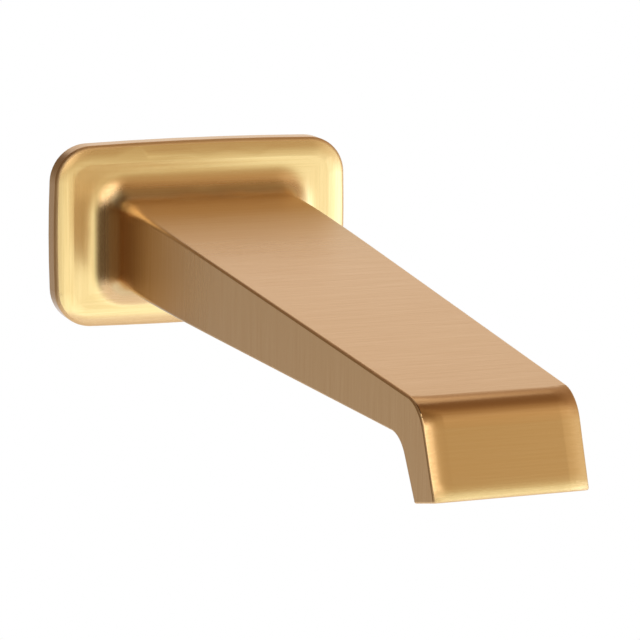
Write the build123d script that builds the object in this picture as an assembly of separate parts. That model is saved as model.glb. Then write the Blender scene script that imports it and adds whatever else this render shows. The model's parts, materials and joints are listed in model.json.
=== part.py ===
from build123d import *
from OCP.BRepFilletAPI import BRepFilletAPI_MakeFillet
from OCP.TColgp import TColgp_Array1OfPnt2d
from OCP.gp import gp_Pnt2d
import os
from math import cos, radians, sin, sqrt, tan

# Wall spout, cast in one piece with its flange, and the straightener in its outlet.
# Millimetres. The wall is the plane Y = 0, the spout reaches along -Y and Z is up.
# The origin is where the inlet axis meets the wall.

# Flange
flange_width = 81.0
flange_height = 48.6
flange_thickness = 6.2  # wall to the flat of the front face
flange_above_inlet = 1.8  # flange centre above the inlet axis
flange_corner_radius = 10.0
flange_bow = 0.8  # each side swells this far past its corners
flange_edge_radius = 1.2
crown_width = 5.0  # band inside the rim where the face falls away
crown_drop = 1.0
rim_land = 3.5  # ring that seats on the wall
flange_face = 2.0  # metal in front of the recess

# Spout
reach = 200.0  # wall to the lip's lower front edge
root_width = 50.0  # at the wall plane
tip_width = 36.0  # at the reach
root_height = 24.2  # at the wall plane
tip_height = 8.2  # at the reach, top face to underside
underside_drop = 11.4  # level underside below the inlet axis
root_flare_radius = 6.0
flare_land = 0.1  # least flat left between the flare and the crown
long_edge_radius = 0.6
root_edge_radius = 4.5  # the same edges' rounding where they start, in the flange
edge_fade = 10  # power by which that rounding fades along the spout
edge_stops = 12  # places along an edge where its rounding is set

# Lip
lip_drop = 10.6  # underside to the lip's lower front edge
lip_depth = 10.4  # along the end face
lip_front_lean = 22.0  # degrees from vertical
lip_back_lean = 30.5
lip_end_tilt = 14.0  # end face from level, its back edge lower
lip_roll_width = 4.5  # band at each side where the lip's front face falls away
lip_roll_drop = 0.6
lip_end_radius = 0.5
bend_radius = 9.0
inner_bend_radius = 8.0

# Inlet and waterway
inlet_bore_diameter = 18.63  # G1/2 female thread at its crests
inlet_depth = 12.0
boss_wall = 3.7
wall = 2.0
waterway_corner_radius = 1.5

# Outlet and its insert
outlet_shoulder = 0.5  # ledge that stops the insert
outlet_depth = 4.0
outlet_corner_radius = 1.0
insert_clearance = 0.1
insert_recess = 0.4  # insert stands this far inside the end face
insert_frame = 0.6
cell_width = 1.7  # across flats
cell_web = 0.4

underside = -underside_drop
top_slope = (root_height - tip_height) / reach
taper_slope = (root_width - tip_width) / 2 / reach
recess_depth = flange_thickness - flange_face
flange_centre = Plane.front.shift_origin((0, 0, flange_above_inlet))
front_lean = radians(lip_front_lean)
back_lean = radians(lip_back_lean)
end_tilt = radians(lip_end_tilt)


def top_height(distance):
    """Height of the top face at a distance from the wall."""
    return underside + root_height - top_slope * distance


def half_width(distance):
    """Half the spout's width at a distance from the wall."""
    return root_width / 2 - taper_slope * distance


# Corners of the spout's side view, as (distance from the wall, height)
lip_front = Vector(reach, underside - lip_drop)
lip_back = lip_front - Vector(cos(end_tilt), sin(end_tilt)) * lip_depth
front_rise = (top_height(reach) - lip_front.Y) / (1 - top_slope * tan(front_lean))
bend_corner = lip_front + Vector(-tan(front_lean), 1) * front_rise
inner_corner = lip_back + Vector(-tan(back_lean), 1) * (underside - lip_back.Y)

# Outlet: the lip's end face, and the slot along the middle of the lip
lip_lean = (front_lean + back_lean) / 2
lip_middle = (lip_front + lip_back) / 2
lip_centre = (0, -lip_middle.X, lip_middle.Y)
lip_end = Plane(lip_centre, x_dir=(1, 0, 0), z_dir=(0, -sin(end_tilt), -cos(end_tilt)))
outlet = Plane(lip_centre, x_dir=(1, 0, 0), z_dir=(0, -sin(lip_lean), -cos(lip_lean)))
lip_thickness = lip_depth * cos(lip_lean - end_tilt)
lip_widening = 2 * outlet_depth * tan((back_lean - front_lean) / 2)
outlet_width = 2 * (half_width(lip_back.X) - wall + outlet_shoulder)
outlet_height = lip_thickness + lip_widening - 2 * (wall - outlet_shoulder)


def side_view(start, longer_lip):
    """Side view from a start distance, with the lip carried on past its end."""
    corners = [
        (start, top_height(start)),
        bend_corner,
        lip_front + Vector(sin(front_lean), -cos(front_lean)) * longer_lip,
        lip_back + Vector(sin(back_lean), -cos(back_lean)) * longer_lip,
        inner_corner,
        (start, underside),
    ]
    view = make_face(Polyline(*corners, close=True))
    return fillet(view.vertices().sort_by_distance(inner_corner)[0], inner_bend_radius)


def between_tapered_sides(view, inset):
    """A side view made solid between the spout's two tapered sides, moved in by inset."""
    far = reach + lip_depth
    plan = Polygon(
        (half_width(0) - inset, 0),
        (half_width(far) - inset, -far),
        (inset - half_width(far), -far),
        (inset - half_width(0), 0),
        align=None,
    )
    slab = extrude(Plane.left * view, root_width, both=True)
    return slab & extrude(plan, reach, both=True)


def side_edges(solid):
    """The edges along a solid's left and right sides."""
    return solid.edges().filter_by(lambda edge: abs(edge.center().X) > tip_width / 4)


def flange_outline(grow):
    """The flange's outline with bowed sides, moved out by grow."""
    half_x = flange_width / 2 + grow
    half_z = flange_height / 2 + grow
    corner_x = half_x - flange_bow
    corner_z = half_z - flange_bow
    sides = [
        ThreePointArc((-corner_x, corner_z), (0, half_z), (corner_x, corner_z)),
        ThreePointArc((corner_x, corner_z), (half_x, 0), (corner_x, -corner_z)),
        ThreePointArc((corner_x, -corner_z), (0, -half_z), (-corner_x, -corner_z)),
        ThreePointArc((-corner_x, -corner_z), (-half_x, 0), (-corner_x, corner_z)),
    ]
    return fillet(make_face(sides).vertices(), flange_corner_radius + grow)


def make_flange():
    """Flange blank with a cushioned front face."""
    crown_radius = (crown_width**2 + crown_drop**2) / (2 * crown_drop)
    front = flange_centre.offset(flange_thickness)
    cushion = extrude(front * flange_outline(crown_radius - crown_width), -2 * crown_radius)
    cushion = fillet(cushion.faces().sort_by(Axis.Y)[0].edges(), crown_radius)
    blank = cushion & extrude(flange_centre * flange_outline(0), flange_thickness)
    rim_front = blank.edges().filter_by_position(
        Axis.Y, -flange_thickness + crown_drop / 2, -flange_thickness + crown_drop * 3 / 2
    )
    return fillet(rim_front, flange_edge_radius)


def soften(spout, edges):
    """Rounds a spout's edges, the long ones more and more towards the wall."""
    rounding = BRepFilletAPI_MakeFillet(spout.wrapped)
    for edge in edges:
        if not rounding.Contour(edge.wrapped):
            rounding.Add(long_edge_radius, edge.wrapped)
    growth = root_edge_radius - long_edge_radius
    for contour in range(1, rounding.NbContours() + 1):
        ends = [1, rounding.NbEdges(contour)]
        at_wall = max(ends, key=lambda end: Edge(rounding.Edge(contour, end)).center().Y)
        radii = TColgp_Array1OfPnt2d(0, edge_stops)
        for stop in range(edge_stops + 1):
            along = stop / edge_stops
            from_wall = along if at_wall == 1 else 1 - along
            radius = long_edge_radius + growth * (1 - from_wall) ** edge_fade
            radii.SetValue(stop, gp_Pnt2d(along, radius))
        rounding.SetRadius(radii, contour, at_wall)
    return Solid(rounding.Shape())


def make_spout():
    """Solid spout from inside the flange to the lip, with its rolled front and soft edges."""
    spout = between_tapered_sides(side_view(recess_depth, 0), 0)
    roll_radius = (lip_roll_width**2 + lip_roll_drop**2) / (2 * lip_roll_drop)
    front_corner = (0, -lip_front.X, lip_front.Y)
    front_face = Plane(front_corner, x_dir=(1, 0, 0), z_dir=(0, sin(front_lean), cos(front_lean)))
    front_width = tip_width + 2 * (roll_radius - lip_roll_width)
    from_front = (Align.CENTER, Align.MIN)
    rolled = RectangleRounded(front_width, 4 * reach, roll_radius, align=from_front)
    rolled += Pos(0, 2 * lip_roll_drop) * Rectangle(4 * root_width, 4 * reach, align=from_front)
    spout &= extrude(front_face * rolled, reach, both=True)

    top_face = spout.faces().sort_by_distance((0, -reach / 2, top_height(reach / 2)))[0]
    bend = top_face.edges().filter_by_position(Axis.Y, -reach, lip_roll_width - bend_corner.X)
    spout = fillet(bend, bend_radius)
    wall_end = spout.faces().sort_by(Axis.Y)[-1]
    outlet_end = spout.faces().sort_by_distance(lip_end.origin)[0]
    spout = soften(spout.solid(), side_edges(spout) - wall_end.edges() - outlet_end.edges())
    outlet_end = spout.faces().sort_by_distance(lip_end.origin)[0]
    return fillet(outlet_end.edges(), lip_end_radius)


def make_outer():
    """Flange and spout in one, with the flare where they meet."""
    outer = make_flange() + make_spout()
    flat_height = flange_height / 2 - crown_width - flare_land
    flare_room = [
        flat_height - flange_above_inlet - underside_drop,
        flat_height + flange_above_inlet - top_height(flange_thickness),
        flange_width / 2 - crown_width - flare_land - half_width(flange_thickness),
    ]
    root = (
        outer.edges()
        .filter_by_position(Axis.Y, -flange_thickness, -flange_thickness)
        .filter_by_position(Axis.X, -root_width / 2, root_width / 2)
        .filter_by_position(Axis.Z, underside, underside + root_height)
    )
    return fillet(root, min(root_flare_radius, *flare_room))


def make_waterway():
    """Space for the water, one wall inside the spout and carried on through the lip's end."""
    view = side_view(recess_depth + wall, 2 * wall)
    view = fillet(view.vertices().sort_by_distance(bend_corner)[0], bend_radius)
    waterway = between_tapered_sides(offset(view, -wall), wall)
    corners = side_edges(waterway) - waterway.faces().sort_by(Axis.Y)[-1].edges()
    narrowest = top_height(inner_corner.X) - underside - 2 * wall
    return fillet(corners, min(waterway_corner_radius, narrowest * 0.45))


def outlet_solid(clearance):
    """The outlet slot's space, carried on past the end face, or less by a clearance."""
    width = outlet_width - 2 * clearance
    height = outlet_height - 2 * clearance
    outline = RectangleRounded(width, height, outlet_corner_radius)
    return extrude(outlet.offset(-outlet_depth) * outline, outlet_depth + lip_depth)


def make_body():
    """The casting: outer form, recess, inlet boss and bore, waterway and outlet slot."""
    outer = make_outer()
    recess = extrude(flange_centre * flange_outline(-rim_land), recess_depth)
    bore_circle = Plane.front * Circle(inlet_bore_diameter / 2)
    boss_circle = Plane.front * Circle(inlet_bore_diameter / 2 + boss_wall)
    boss = outer & extrude(boss_circle, inlet_depth)
    hollow = outer - recess - make_waterway() + boss
    return hollow - extrude(bore_circle, inlet_depth) - outlet_solid(0)


def make_straightener():
    """Honeycomb insert, with as many staggered cells as its frame has room for."""
    blank = outlet_solid(insert_clearance)
    insert = split(blank, bisect_by=lip_end.offset(-insert_recess), keep=Keep.BOTTOM)
    pitch = cell_width + cell_web
    row_pitch = pitch * sqrt(3) / 2
    margin = 2 * (insert_clearance + insert_frame)
    columns = int((outlet_width - margin - cell_width - pitch / 2) / pitch) + 1
    rows = int((outlet_height - margin - cell_width * 2 / sqrt(3)) / row_pitch) + 1
    cell = RegularPolygon(cell_width / 2, 6, major_radius=False, rotation=30)
    cells = []
    for row in range(rows):
        stagger = (row % 2 - 0.5) * pitch / 2
        for column in range(columns):
            across = (column - (columns - 1) / 2) * pitch + stagger
            cells.append(Pos(across, (row - (rows - 1) / 2) * row_pitch) * cell)
    honeycomb = outlet.offset(-outlet_depth) * Sketch(children=cells)
    return insert - extrude(honeycomb, outlet_depth + lip_depth)


os.makedirs("parts", exist_ok=True)
export_step(make_body(), "parts/spout_body.step")
export_step(make_straightener(), "parts/flow_straightener.step")
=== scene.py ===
import bpy
import json
from math import cos, pi, radians, sin
from mathutils import Matrix, Vector

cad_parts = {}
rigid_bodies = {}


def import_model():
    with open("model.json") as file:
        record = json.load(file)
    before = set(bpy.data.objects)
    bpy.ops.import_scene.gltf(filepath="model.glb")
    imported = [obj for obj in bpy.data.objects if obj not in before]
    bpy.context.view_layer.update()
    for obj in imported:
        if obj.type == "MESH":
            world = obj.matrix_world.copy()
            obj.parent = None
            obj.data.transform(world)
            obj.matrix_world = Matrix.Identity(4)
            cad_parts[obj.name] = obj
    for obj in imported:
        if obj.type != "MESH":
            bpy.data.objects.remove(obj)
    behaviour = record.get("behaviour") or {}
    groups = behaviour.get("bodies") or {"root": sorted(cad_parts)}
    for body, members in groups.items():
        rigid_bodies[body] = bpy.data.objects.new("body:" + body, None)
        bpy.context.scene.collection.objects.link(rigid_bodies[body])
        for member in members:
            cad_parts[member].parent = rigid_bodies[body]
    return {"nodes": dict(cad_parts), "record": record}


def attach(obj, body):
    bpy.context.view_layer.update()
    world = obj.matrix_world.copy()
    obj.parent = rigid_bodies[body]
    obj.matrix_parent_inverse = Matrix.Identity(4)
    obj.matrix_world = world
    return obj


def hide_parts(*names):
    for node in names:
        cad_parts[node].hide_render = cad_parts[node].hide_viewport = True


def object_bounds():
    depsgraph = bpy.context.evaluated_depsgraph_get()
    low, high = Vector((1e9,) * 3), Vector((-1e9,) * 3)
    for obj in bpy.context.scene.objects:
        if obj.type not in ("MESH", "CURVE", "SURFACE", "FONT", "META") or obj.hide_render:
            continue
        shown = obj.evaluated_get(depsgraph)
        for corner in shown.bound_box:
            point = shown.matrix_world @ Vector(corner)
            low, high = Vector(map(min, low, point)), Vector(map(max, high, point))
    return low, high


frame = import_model()
cadLow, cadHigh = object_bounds()
bpy.ops.object.select_all(action="DESELECT")
print("frame loaded:", ", ".join(frame["nodes"]))

mounts = {mount["name"]: mount for mount in frame["record"]["mounts"]}
boreRadius = mounts["inlet_thread"]["dims"]["r_mm"] / 1000
boreLength = mounts["inlet_thread"]["dims"]["length_mm"] / 1000
flangeMiddle = mounts["wall_face"]["pos_m"][2]  # height above the inlet axis
closeBy = 1e-5  # metres, for points on the same place


class Wire:  # an output socket; sums on it add Math nodes
    def __init__(self, nodes, socket):
        self.nodes = nodes
        self.socket = socket

    def sum(self, operation, *values):
        return self.nodes.add("Math", {"operation": operation}, dict(enumerate(values)))

    def __add__(self, other):
        return self.sum("ADD", self, other)

    def __sub__(self, other):
        return self.sum("SUBTRACT", self, other)

    def __rsub__(self, other):
        return self.sum("SUBTRACT", other, self)

    def __mul__(self, other):
        return self.sum("MULTIPLY", self, other)

    def __truediv__(self, other):
        return self.sum("DIVIDE", self, other)

    def __abs__(self):
        return self.sum("ABSOLUTE", self)

    __radd__ = __add__
    __rmul__ = __mul__

    def larger(self, other):
        return self.sum("MAXIMUM", self, other)

    def squareRoot(self):
        return self.sum("SQRT", self)

    def arcSine(self):
        return self.sum("ARCSINE", self)

    def rise(self, low, high):  # 0 below low, 1 above high
        settings = {"interpolation_type": "SMOOTHSTEP"}
        ends = {"Value": self, "From Min": low, "From Max": high}
        return self.nodes.add("MapRange", settings, ends)

    def fall(self, low, high):  # 1 below low, 0 above high
        return 1 - self.rise(low, high)


class Nodes:  # the node tree of a material or a world
    def __init__(self, owner):
        owner.use_nodes = True
        self.tree = owner.node_tree
        self.tree.nodes.clear()

    def add(self, kind, settings, inputs, output=0):
        node = self.tree.nodes.new("ShaderNode" + kind)
        for name, value in settings.items():
            if name == "stops":
                setStops(node.color_ramp, value)
            else:
                setattr(node, name, value)
        for name, value in inputs.items():
            if isinstance(value, Wire):
                self.tree.links.new(value.socket, node.inputs[name])
            else:
                node.inputs[name].default_value = value
        return Wire(self, node.outputs[output]) if node.outputs else None

    def axes(self, vector):  # the three numbers of a vector
        return [self.add("SeparateXYZ", {}, {"Vector": vector}, axis) for axis in range(3)]

    def mixColor(self, factor, first, second, blend="MIX"):
        colors = {"Factor": factor, 6: first, 7: second}
        return self.add("Mix", {"data_type": "RGBA", "blend_type": blend}, colors, 2)

    def mixVector(self, factor, first, second):
        vectors = {"Factor": factor, 4: first, 5: second}
        return self.add("Mix", {"data_type": "VECTOR"}, vectors, 1)


def setStops(ramp, stops):
    while len(ramp.elements) < len(stops):
        ramp.elements.new(1.0)
    for element, (position, color) in zip(ramp.elements, stops):
        element.position = position
        element.color = color


def grey(level):
    return (level, level, level, 1.0)


def deselect():
    if bpy.context.object and bpy.context.object.mode != "OBJECT":
        bpy.ops.object.mode_set(mode="OBJECT")
    bpy.ops.object.select_all(action="DESELECT")


def makeActive(piece):
    deselect()
    piece.select_set(True)
    bpy.context.view_layer.objects.active = piece


# camera at the photograph's viewing angle
photoCamera = {
    "azimuth": -21.889,  # degrees, left of the spout's line
    "elevation": 11.497,
    "roll": 0.898,
    "distance": 0.7616,  # metres from the aim point
    "aim": (-0.00011, -0.09, -0.00561),
    "focalPixels": 3176.7,
    "imagePixels": 640,
    "sensor": 36.0,
    "clipStart": 0.01,
}


def setCamera(view):
    turn = Matrix.Rotation(radians(view["azimuth"]), 4, "Z")
    tilt = Matrix.Rotation(pi / 2 - radians(view["elevation"]), 4, "X")
    roll = Matrix.Rotation(radians(view["roll"]), 4, "Z")
    facing = turn @ tilt @ roll
    bpy.ops.object.camera_add()
    camera = bpy.context.object
    camera.name = "photo_camera"
    camera.data.sensor_width = view["sensor"]
    camera.data.lens = view["focalPixels"] / view["imagePixels"] * view["sensor"]
    camera.data.clip_start = view["clipStart"]
    back = facing.to_3x3() @ Vector((0, 0, 1))
    place = Vector(view["aim"]) + back * view["distance"]
    camera.matrix_world = Matrix.Translation(place) @ facing
    bpy.context.scene.camera = camera


setCamera(photoCamera)
print("camera set")


# finishes
goldFinish = {  # depths are along y, from the wall at 0
    "gold": (0.88, 0.61, 0.34, 1.0),
    "deepGold": (0.83, 0.55, 0.28, 1.0),  # in the brush lines
    "roughness": 0.2,
    "lineRoughness": 0.06,  # added in the brush lines
    "lineSpacing": 0.0004,
    "lineLength": 0.02,
    "lineDepth": 0.000006,
    "lineDetail": 4.0,
    "lineGrit": 0.65,  # share of the finer noise
    "lineLevels": (0.25, 0.75),  # noise from deep gold to gold
    "flangeDepth": (-0.010, -0.007),  # spout's brushing to the flange's
    "cornerBlend": 0.002,  # level lines to upright ones at the flange's corners
    "sideFacing": (0.6, 0.8),  # where the spout is brushed upright
    "cornerRadius": 0.0108,  # of the flange's outline
    "rimBand": (0.0045, 0.009),  # from the outline, left crisp by polishing
    "polishRadius": 0.0054,  # by which polishing blends the flange into the spout
    "polishSamples": 8,
    "polishDepth": (-0.026, -0.016),  # where that fades in on the spout
    "lipPolish": 0.4,  # share of it on the lip's lower edge
    "lipDrop": (0.017, 0.021),  # below the inlet axis
    "lipFacing": (0.4, 0.7),  # turned to the front
    "rootRoughness": 0.15,  # added where the spout leaves the flange
    "rootTopPaintedLight": (0.97, 1.10, 1.15, 1.0),  # times the color on the top there, painted light: paler and less orange
    # times the color on the sides there, painted shade: darker and browner
    "rootSidePaintedShade": (0.84, 0.71, 0.52, 1.0),
    "rootDepth": (-0.09, -0.015),  # where these fade in
    "flareDepth": (-0.0085, -0.0065),  # and fade out
    "topFacing": (0.1, 0.5),  # painted side shade to painted top light
    "edgeRoughness": 0.3,  # added on the long edges and the rim's edge
    "edgeFacing": (0.4, 0.5),  # top to long edge
    "edgeEnd": (0.94, 0.985),  # long edge to side
    "edgeDepth": (-0.08, -0.04),  # where it fades out towards the root
    "rimFacing": (0.1, 0.3),  # rim to its edge
    "rimEnd": (0.92, 0.98),  # edge to the flange's face
    "rimDepth": (-0.0062, -0.0058),  # where it fades in towards the wall
}


def brushLines(shader, place, direction, finish):  # noise drawn out along one axis
    stretch = [1 / finish["lineSpacing"]] * 3
    stretch["xyz".index(direction)] = 1 / finish["lineLength"]
    drawn = shader.add("Mapping", {}, {"Vector": place, "Scale": stretch})
    noise = {"Vector": drawn, "Scale": 1.0}
    noise.update({"Detail": finish["lineDetail"], "Roughness": finish["lineGrit"]})
    return shader.add("TexNoise", {"noise_dimensions": "3D"}, noise)


def makeBrushedGold(finish):
    material = bpy.data.materials.new("brushed_gold")
    shader = Nodes(material)
    place = shader.add("TexCoord", {}, {}, "Object")
    normal = shader.add("NewGeometry", {}, {}, "Normal")
    x, y, z = shader.axes(place)
    faceX, faceY, faceZ = shader.axes(normal)
    sideways, forward = abs(faceX), 0 - faceY

    # brushing runs round the flange, across the spout's top and up its sides
    onFlange = y.rise(*finish["flangeDepth"])
    fromSide = cadHigh.x - abs(x)
    fromTop = cadHigh.z - flangeMiddle - abs(z - flangeMiddle)
    blend = finish["cornerBlend"]
    upright = (fromTop - fromSide).rise(-blend, blend) * onFlange
    upright = upright + sideways.rise(*finish["sideFacing"]) * (1 - onFlange)
    across = brushLines(shader, place, "x", finish)
    down = brushLines(shader, place, "z", finish)
    lines = down * upright + across * (1 - upright)
    tint = lines.rise(*finish["lineLevels"])
    color = shader.mixColor(tint, finish["deepGold"], finish["gold"])
    roughness = finish["roughness"] + finish["lineRoughness"] * (1 - tint)

    # polishing rounds off the changes of curve between the rim and the spout
    cornerX = (finish["cornerRadius"] - fromSide).larger(0)
    cornerZ = (finish["cornerRadius"] - fromTop).larger(0)
    fromRim = finish["cornerRadius"] - (cornerX * cornerX + cornerZ * cornerZ).squareRoot()
    polished = fromRim.rise(*finish["rimBand"]) * y.rise(*finish["polishDepth"])
    lowLip = (0 - z).rise(*finish["lipDrop"]) * forward.rise(*finish["lipFacing"])
    polished = polished.larger(lowLip * finish["lipPolish"])
    settings = {"samples": finish["polishSamples"]}
    blended = shader.add("Bevel", settings, {"Radius": finish["polishRadius"]})
    face = shader.mixVector(polished, normal, blended)

    # painted shade on the root's sides and painted light on its top, and more roughness at the
    # root and along the edges
    nearRoot = y.rise(*finish["rootDepth"]) * y.fall(*finish["flareDepth"])
    onTop = abs(faceZ).rise(*finish["topFacing"])
    # painted shade on the root's sides, painted paler light on its top, multiplied into the gold
    rootPaintedShading = shader.mixColor(onTop, finish["rootSidePaintedShade"], finish["rootTopPaintedLight"])
    color = shader.mixColor(nearRoot, color, rootPaintedShading, "MULTIPLY")
    roughness = roughness + finish["rootRoughness"] * nearRoot
    longEdge = sideways.rise(*finish["edgeFacing"]) * sideways.fall(*finish["edgeEnd"])
    longEdge = longEdge * y.fall(*finish["edgeDepth"])
    rimEdge = forward.rise(*finish["rimFacing"]) * forward.fall(*finish["rimEnd"])
    rimEdge = rimEdge * y.rise(*finish["rimDepth"])
    roughness = roughness + finish["edgeRoughness"] * longEdge.larger(rimEdge)

    grain = {"Height": lines, "Distance": finish["lineDepth"], "Strength": 1.0, "Normal": face}
    relief = shader.add("Bump", {}, grain)
    surface = {"Base Color": color, "Roughness": roughness, "Metallic": 1.0, "Normal": relief}
    shader.add("OutputMaterial", {}, {"Surface": shader.add("BsdfPrincipled", {}, surface)})
    return material


rawBrassFinish = {
    "brass": (0.72, 0.54, 0.27, 1.0),
    "dullBrass": (0.52, 0.36, 0.17, 1.0),  # in the hollows of the cast skin
    "roughness": 0.34,
    "dullRoughness": 0.2,  # added in the hollows
    "grainSize": 0.0008,
    "grainDetail": 3.0,
    "grainDepth": 0.00002,
    "grainShare": 0.4,  # the rest is stain
    "stainSize": 0.012,
    "stainDetail": 2.0,
    "cleanLevels": (0.35, 0.65),  # dull to clean
}


def makeRawBrass(finish):
    material = bpy.data.materials.new("raw_brass")
    shader = Nodes(material)
    place = shader.add("TexCoord", {}, {}, "Object")
    noise = {"Vector": place, "Scale": 1 / finish["grainSize"], "Detail": finish["grainDetail"]}
    grain = shader.add("TexNoise", {"noise_dimensions": "3D"}, noise)
    noise = {"Vector": place, "Scale": 1 / finish["stainSize"], "Detail": finish["stainDetail"]}
    stain = shader.add("TexNoise", {"noise_dimensions": "3D"}, noise)
    share = finish["grainShare"]
    clean = (grain * share + stain * (1 - share)).rise(*finish["cleanLevels"])
    color = shader.mixColor(clean, finish["dullBrass"], finish["brass"])
    roughness = finish["roughness"] + finish["dullRoughness"] * (1 - clean)
    skin = {"Height": grain, "Distance": finish["grainDepth"], "Strength": 1.0}
    relief = shader.add("Bump", {}, skin)
    surface = {"Base Color": color, "Roughness": roughness, "Metallic": 1.0, "Normal": relief}
    shader.add("OutputMaterial", {}, {"Surface": shader.add("BsdfPrincipled", {}, surface)})
    return material


acetalFinish = {
    "color": (0.78, 0.78, 0.75, 1.0),
    "shadeColor": (0.70, 0.70, 0.67, 1.0),
    "roughness": 0.38,
    "mottle": 0.14,  # added to the roughness in patches
    "patchSize": 0.003,
    "patchDetail": 3.0,
    "patchLevels": (0.3, 0.7),
    "ior": 1.48,
}


def makeAcetal(finish):
    material = bpy.data.materials.new("insert_plastic")
    shader = Nodes(material)
    place = shader.add("TexCoord", {}, {}, "Object")
    noise = {"Vector": place, "Scale": 1 / finish["patchSize"], "Detail": finish["patchDetail"]}
    patch = shader.add("TexNoise", {"noise_dimensions": "3D"}, noise)
    patch = patch.rise(*finish["patchLevels"])
    color = shader.mixColor(patch, finish["shadeColor"], finish["color"])
    roughness = finish["roughness"] + finish["mottle"] * patch
    surface = {"Base Color": color, "Roughness": roughness, "IOR": finish["ior"]}
    shader.add("OutputMaterial", {}, {"Surface": shader.add("BsdfPrincipled", {}, surface)})
    return material


brushedGold = makeBrushedGold(goldFinish)
rawBrass = makeRawBrass(rawBrassFinish)
acetal = makeAcetal(acetalFinish)
print("finishes made")


# casting: a merged copy of the CAD solid
castingCopy = {
    "node": "spout_body",
    "name": "spout_casting",
    "slot": "brushed_gold",
    "merge": 1e-6,
    "bossRadius": 0.0132,  # clear of the inlet boss, inside the flange's rim
    "endTilt": 14.0,  # degrees, the lip's end face from level
    "rimFacing": 0.999,  # least, of a face on the rim
    "endFacing": 0.9999,  # least, of a face on the lip's end
    "threadRoot": 0.0104775,  # radius
    "runOut": 0.0015,  # plain end of the bore
}


def selectFaces(piece, test):
    bpy.context.tool_settings.mesh_select_mode = (False, False, True)
    bpy.ops.mesh.select_all(action="DESELECT")
    bpy.ops.object.mode_set(mode="OBJECT")
    for face in piece.data.polygons:
        face.select = test(face)
    bpy.ops.object.mode_set(mode="EDIT")


def selectPoints(piece, test):
    bpy.context.tool_settings.mesh_select_mode = (True, False, False)
    bpy.ops.mesh.select_all(action="DESELECT")
    bpy.ops.object.mode_set(mode="OBJECT")
    for point in piece.data.vertices:
        point.select = test(point.co)
    bpy.ops.object.mode_set(mode="EDIT")


def fromAxis(place):  # distance from the inlet axis
    return (place.x**2 + place.z**2) ** 0.5


def copyNode(spec):
    casting = bpy.data.objects.new(spec["name"], frame["nodes"][spec["node"]].data.copy())
    bpy.context.scene.collection.objects.link(casting)
    casting.data.materials.clear()
    casting.data.materials.append(brushedGold)
    casting.data.materials.append(rawBrass)
    makeActive(casting)
    bpy.ops.object.mode_set(mode="EDIT")
    bpy.ops.mesh.select_all(action="SELECT")
    bpy.ops.mesh.remove_doubles(threshold=spec["merge"], use_sharp_edge_from_normals=True)
    return casting


def leaveInsideRaw(casting, spec):  # with both mouths hidden, the outside ends there
    tilt = radians(spec["endTilt"])
    endNormal = Vector((0, -sin(tilt), -cos(tilt)))

    def atMouth(face):
        onWall = face.normal.y > spec["rimFacing"] and face.center.y > -closeBy
        onRim = onWall and fromAxis(face.center) > spec["bossRadius"]
        return onRim or face.normal.dot(endNormal) > spec["endFacing"]

    selectFaces(casting, atMouth)
    bpy.ops.mesh.hide(unselected=False)
    highest = max(casting.data.polygons, key=lambda face: face.center.z).index
    selectFaces(casting, lambda face: face.index == highest)
    bpy.ops.mesh.select_linked()
    bpy.ops.mesh.select_all(action="INVERT")
    casting.active_material_index = 1
    bpy.ops.object.material_slot_assign()
    bpy.ops.mesh.reveal(select=False)


def openBore(casting, spec):  # out to the thread's root, so that a ridge can stand in it
    threadEnd = spec["runOut"] - boreLength
    points = casting.data.vertices

    def onBore(place):
        return abs(fromAxis(place) - boreRadius) < closeBy and place.y > -boreLength - closeBy

    def inThread(place):
        return fromAxis(place) < boreRadius + closeBy and place.y > threadEnd - closeBy

    selectFaces(casting, lambda face: all(onBore(points[index].co) for index in face.vertices))
    bpy.ops.mesh.bisect(plane_co=(0, threadEnd, 0), plane_no=(0, 1, 0))
    selectPoints(casting, inThread)
    wider = spec["threadRoot"] / boreRadius
    bpy.ops.transform.resize(value=(wider, 1, wider), center_override=(0, 0, 0))


casting = copyNode(castingCopy)
leaveInsideRaw(casting, castingCopy)
openBore(casting, castingCopy)
deselect()
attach(casting, "root")
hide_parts(castingCopy["node"])
print("casting copied:", len(casting.data.polygons), "faces")


# inlet thread: one ridge wound round the bore
threadRidge = {
    "name": "inlet_thread",
    "slot": "brushed_gold",
    "pitch": 0.001814,
    "turns": 5,
    "steps": 48,  # in one turn
    "baseWidth": 0.00155,
    "crestWidth": 0.00045,
    "crestRound": 0.00012,
    "crestSegments": 2,
    "smoothAngle": 40,  # degrees
    "sunk": 0.0001,  # base inside the wall
    "start": 0.0014,  # wall plane to the middle of the ridge
    "leadHeight": 0.1,  # share of its height where it starts
}


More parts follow.
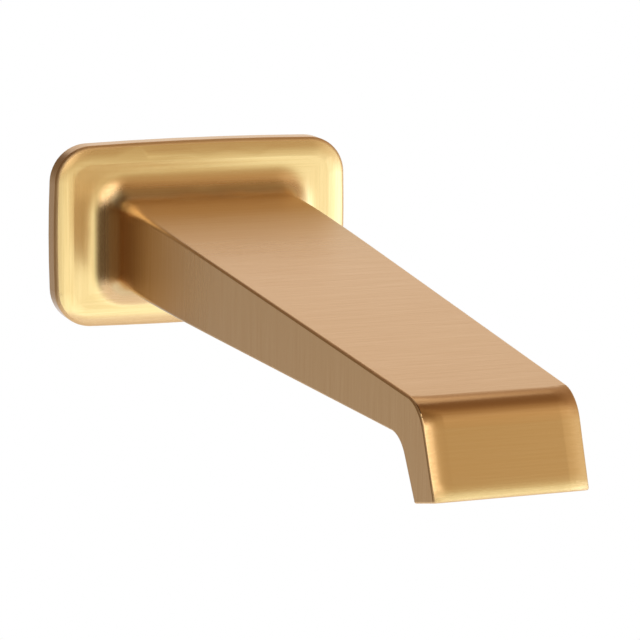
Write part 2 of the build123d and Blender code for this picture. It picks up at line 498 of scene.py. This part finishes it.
def makeThread(spec):
    base = castingCopy["threadRoot"] + spec["sunk"]
    middle = (boreRadius + base) / 2
    crest = (boreRadius, -spec["start"], 0)
    deselect()
    bpy.ops.mesh.primitive_plane_add(size=1, location=(middle, -spec["start"], 0))
    ridge = bpy.context.object
    ridge.name = spec["name"]
    ridge.scale = (base - boreRadius, spec["baseWidth"], 1)
    bpy.ops.object.transform_apply(location=True, rotation=True, scale=True)
    bpy.ops.object.mode_set(mode="EDIT")
    selectPoints(ridge, lambda place: place.x < middle)
    narrower = spec["crestWidth"] / spec["baseWidth"]
    bpy.ops.transform.resize(value=(1, narrower, 1), center_override=crest)
    rounding = {"offset": spec["crestRound"], "segments": spec["crestSegments"]}
    bpy.ops.mesh.bevel(affect="VERTICES", **rounding)
    bpy.ops.mesh.select_all(action="SELECT")
    bpy.ops.mesh.delete(type="ONLY_FACE")
    bpy.ops.object.mode_set(mode="OBJECT")

    winding = ridge.modifiers.new("winding", "SCREW")
    winding.axis = "Y"
    winding.angle = -2 * pi  # right-handed
    winding.screw_offset = -spec["pitch"]
    winding.iterations = spec["turns"]
    winding.steps = winding.render_steps = spec["steps"]
    bpy.ops.object.modifier_apply(modifier="winding")

    bpy.ops.object.mode_set(mode="EDIT")
    bpy.ops.mesh.select_all(action="SELECT")
    bpy.ops.mesh.fill_holes(sides=0)
    bpy.ops.mesh.select_all(action="SELECT")
    bpy.ops.mesh.normals_make_consistent(inside=False)
    firstTurn = -spec["start"] - spec["pitch"] / 2

    def atStart(place):
        return place.x > 0 and abs(place.z) < closeBy and place.y > firstTurn

    selectPoints(ridge, atStart)
    bpy.ops.transform.resize(value=(spec["leadHeight"], 1, 1), center_override=(base, 0, 0))
    bpy.ops.object.mode_set(mode="OBJECT")
    bpy.ops.object.shade_smooth_by_angle(angle=radians(spec["smoothAngle"]))
    ridge.data.materials.append(rawBrass)
    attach(ridge, "root")
    return ridge


thread = makeThread(threadRidge)
print("thread cut:", len(thread.data.polygons), "faces")


# straightener: the CAD solid as it is
straightener = frame["nodes"]["flow_straightener"]
straightener.data.materials.clear()
straightener.data.materials.append(acetal)
print("straightener finished")


# studio: floor, light tent, soft lamps and backdrop
studio = {
    "floorDrop": 0.5,  # below the inlet axis
    "floorSize": 1.4,
    "floorGrey": 0.85,
    "floorWhite": 0.85,  # share of white in what is seen of it
    "floorEdge": (0.25, 0.65),  # from its middle, where that share grows to 1
    "skyLevel": 0.5,  # where it only gives light
    "tentRadius": 2.0,
    "tentSegments": 64,
    "tentRings": 32,
    "centre": (0, -0.1, 0),
}
tentRound = [  # tent's glow by azimuth: 0 at the front, then right, back at 180 and left
    (-180, (0.80, 0.76, 0.80)),
    (-166, (0.39, 0.323, 0.274)),
    (-148, (0.528, 0.434, 0.354)),
    (-120, (0.245, 0.175, 0.115)),
    (-90, (0.215, 0.152, 0.102)),
    (-68, (0.14, 0.10, 0.06)),
    (-30, (0.14, 0.10, 0.06)),
    (-10, (1.38, 1.42, 1.10)),
    (6, (1.46, 1.52, 1.22)),
    (22, (1.26, 1.30, 1.02)),
    (38, (1.94, 2.14, 1.98)),
    (52, (2.20, 2.52, 2.60)),
    (80, (1.30, 1.25, 1.15)),
    (120, (1.10, 1.05, 1.00)),
    (160, (1.10, 1.05, 1.05)),
    (180, (0.80, 0.76, 0.80)),
]
tentUp = [  # share of it by elevation
    (-90, (1.04, 1.21, 1.41)),
    (-30, (1.04, 1.21, 1.41)),
    (-10, (0.86, 0.925, 0.97)),
    (4, (0.50, 0.46, 0.38)),
    (20, (0.37, 0.283, 0.205)),
    (45, (0.35, 0.243, 0.16)),
    (62, (0.17, 0.095, 0.045)),
    (90, (0.13, 0.07, 0.035)),
]
softLamps = {
    "key": {
        "azimuth": -26,
        "elevation": 30,
        "distance": 1.2,
        "size": (1.1, 1.1),
        "glow": 1.4,
        "color": (1.0, 0.97, 0.9),
    },
    "back": {
        "azimuth": 160,
        "elevation": 16,
        "distance": 1.2,
        "size": (1.1, 0.7),
        "glow": 0.37,
        "color": (0.97, 1.0, 1.02),
    },
    "over": {
        "azimuth": 168,
        "elevation": 58,
        "distance": 1.2,
        "size": (0.9, 0.75),
        "glow": 0.40,
        "color": (1.0, 0.93, 0.82),
    },
}


def rampStops(glow, lowest, span):  # colors as shares of the peak, and the peak
    peak = max(max(color) for _, color in glow)
    stops = []
    for angle, color in glow:
        stops.append(((angle - lowest) / span, [part / peak for part in color] + [1.0]))
    return stops, peak


def makeTent(spec):
    bpy.ops.mesh.primitive_uv_sphere_add(
        segments=spec["tentSegments"],
        ring_count=spec["tentRings"],
        radius=spec["tentRadius"],
        location=spec["centre"],
    )
    tent = bpy.context.object
    tent.name = "light_tent"
    tent.visible_camera = False
    tent.visible_shadow = False
    material = bpy.data.materials.new("tent_light")
    shader = Nodes(material)
    x, y, z = shader.axes(shader.add("TexCoord", {}, {}, "Object"))
    azimuth = shader.add("Math", {"operation": "ARCTAN2"}, {0: x, 1: 0 - y})
    elevation = (z / spec["tentRadius"]).arcSine()
    roundStops, roundPeak = rampStops(tentRound, -180, 360)
    upStops, upPeak = rampStops(tentUp, -90, 180)
    around = shader.add("ValToRGB", {"stops": roundStops}, {"Fac": azimuth / (2 * pi) + 0.5})
    up = shader.add("ValToRGB", {"stops": upStops}, {"Fac": elevation / pi + 0.5})
    glowColor = shader.mixColor(1.0, around, up, "MULTIPLY")
    glow = shader.add("Emission", {}, {"Color": glowColor, "Strength": roundPeak * upPeak})
    shader.add("OutputMaterial", {}, {"Surface": glow})
    tent.data.materials.append(material)


def makeLamp(name, lamp, spec):
    facing = Matrix.Rotation(radians(lamp["azimuth"]), 4, "Z")
    facing @= Matrix.Rotation(pi / 2 - radians(lamp["elevation"]), 4, "X")
    place = Vector(spec["centre"]) + facing.to_3x3() @ Vector((0, 0, lamp["distance"]))
    bpy.ops.object.light_add(type="AREA")
    light = bpy.context.object
    light.name = name + "_lamp"
    light.matrix_world = Matrix.Translation(place) @ facing
    light.visible_camera = False
    light.data.shape = "ELLIPSE"
    light.data.size, light.data.size_y = lamp["size"]
    light.data.color = lamp["color"]
    light.data.energy = lamp["glow"] * pi * (pi / 4 * lamp["size"][0] * lamp["size"][1])


def seenDirectly(shader):  # 1 for rays that show the background itself
    camera = shader.add("LightPath", {}, {}, "Is Camera Ray")
    glossy = shader.add("LightPath", {}, {}, "Is Glossy Ray")
    through = shader.add("LightPath", {}, {}, "Is Transmission Ray")
    return camera.larger(glossy).larger(through)


def makeFloor(spec):
    x, y, _ = spec["centre"]
    bpy.ops.mesh.primitive_plane_add(size=spec["floorSize"], location=(x, y, -spec["floorDrop"]))
    floor = bpy.context.object
    floor.name = "floor"
    material = bpy.data.materials.new("pale_floor")
    shader = Nodes(material)
    matte = shader.add("BsdfDiffuse", {}, {"Color": grey(spec["floorGrey"])})
    white = shader.add("Emission", {}, {"Color": grey(1.0), "Strength": 1.0})
    acrossX, acrossY, _ = shader.axes(shader.add("TexCoord", {}, {}, "Object"))
    fromMiddle = (acrossX * acrossX + acrossY * acrossY).squareRoot()
    nearEdge = fromMiddle.rise(*spec["floorEdge"])
    share = spec["floorWhite"] + (1 - spec["floorWhite"]) * nearEdge
    whitening = seenDirectly(shader) * share
    surface = shader.add("MixShader", {}, {0: whitening, 1: matte, 2: white})
    shader.add("OutputMaterial", {}, {"Surface": surface})
    floor.data.materials.append(material)


def makeWorld(spec):
    world = bpy.data.worlds.new("studio")
    bpy.context.scene.world = world
    shader = Nodes(world)
    level = spec["skyLevel"] + (1 - spec["skyLevel"]) * seenDirectly(shader)
    sky = shader.add("Background", {}, {"Color": grey(1.0), "Strength": level})
    shader.add("OutputWorld", {}, {"Surface": sky})


makeTent(studio)
for lampName, lamp in softLamps.items():
    makeLamp(lampName, lamp, studio)
makeFloor(studio)
makeWorld(studio)
bpy.context.scene.view_settings.view_transform = "Standard"
print("studio lit")
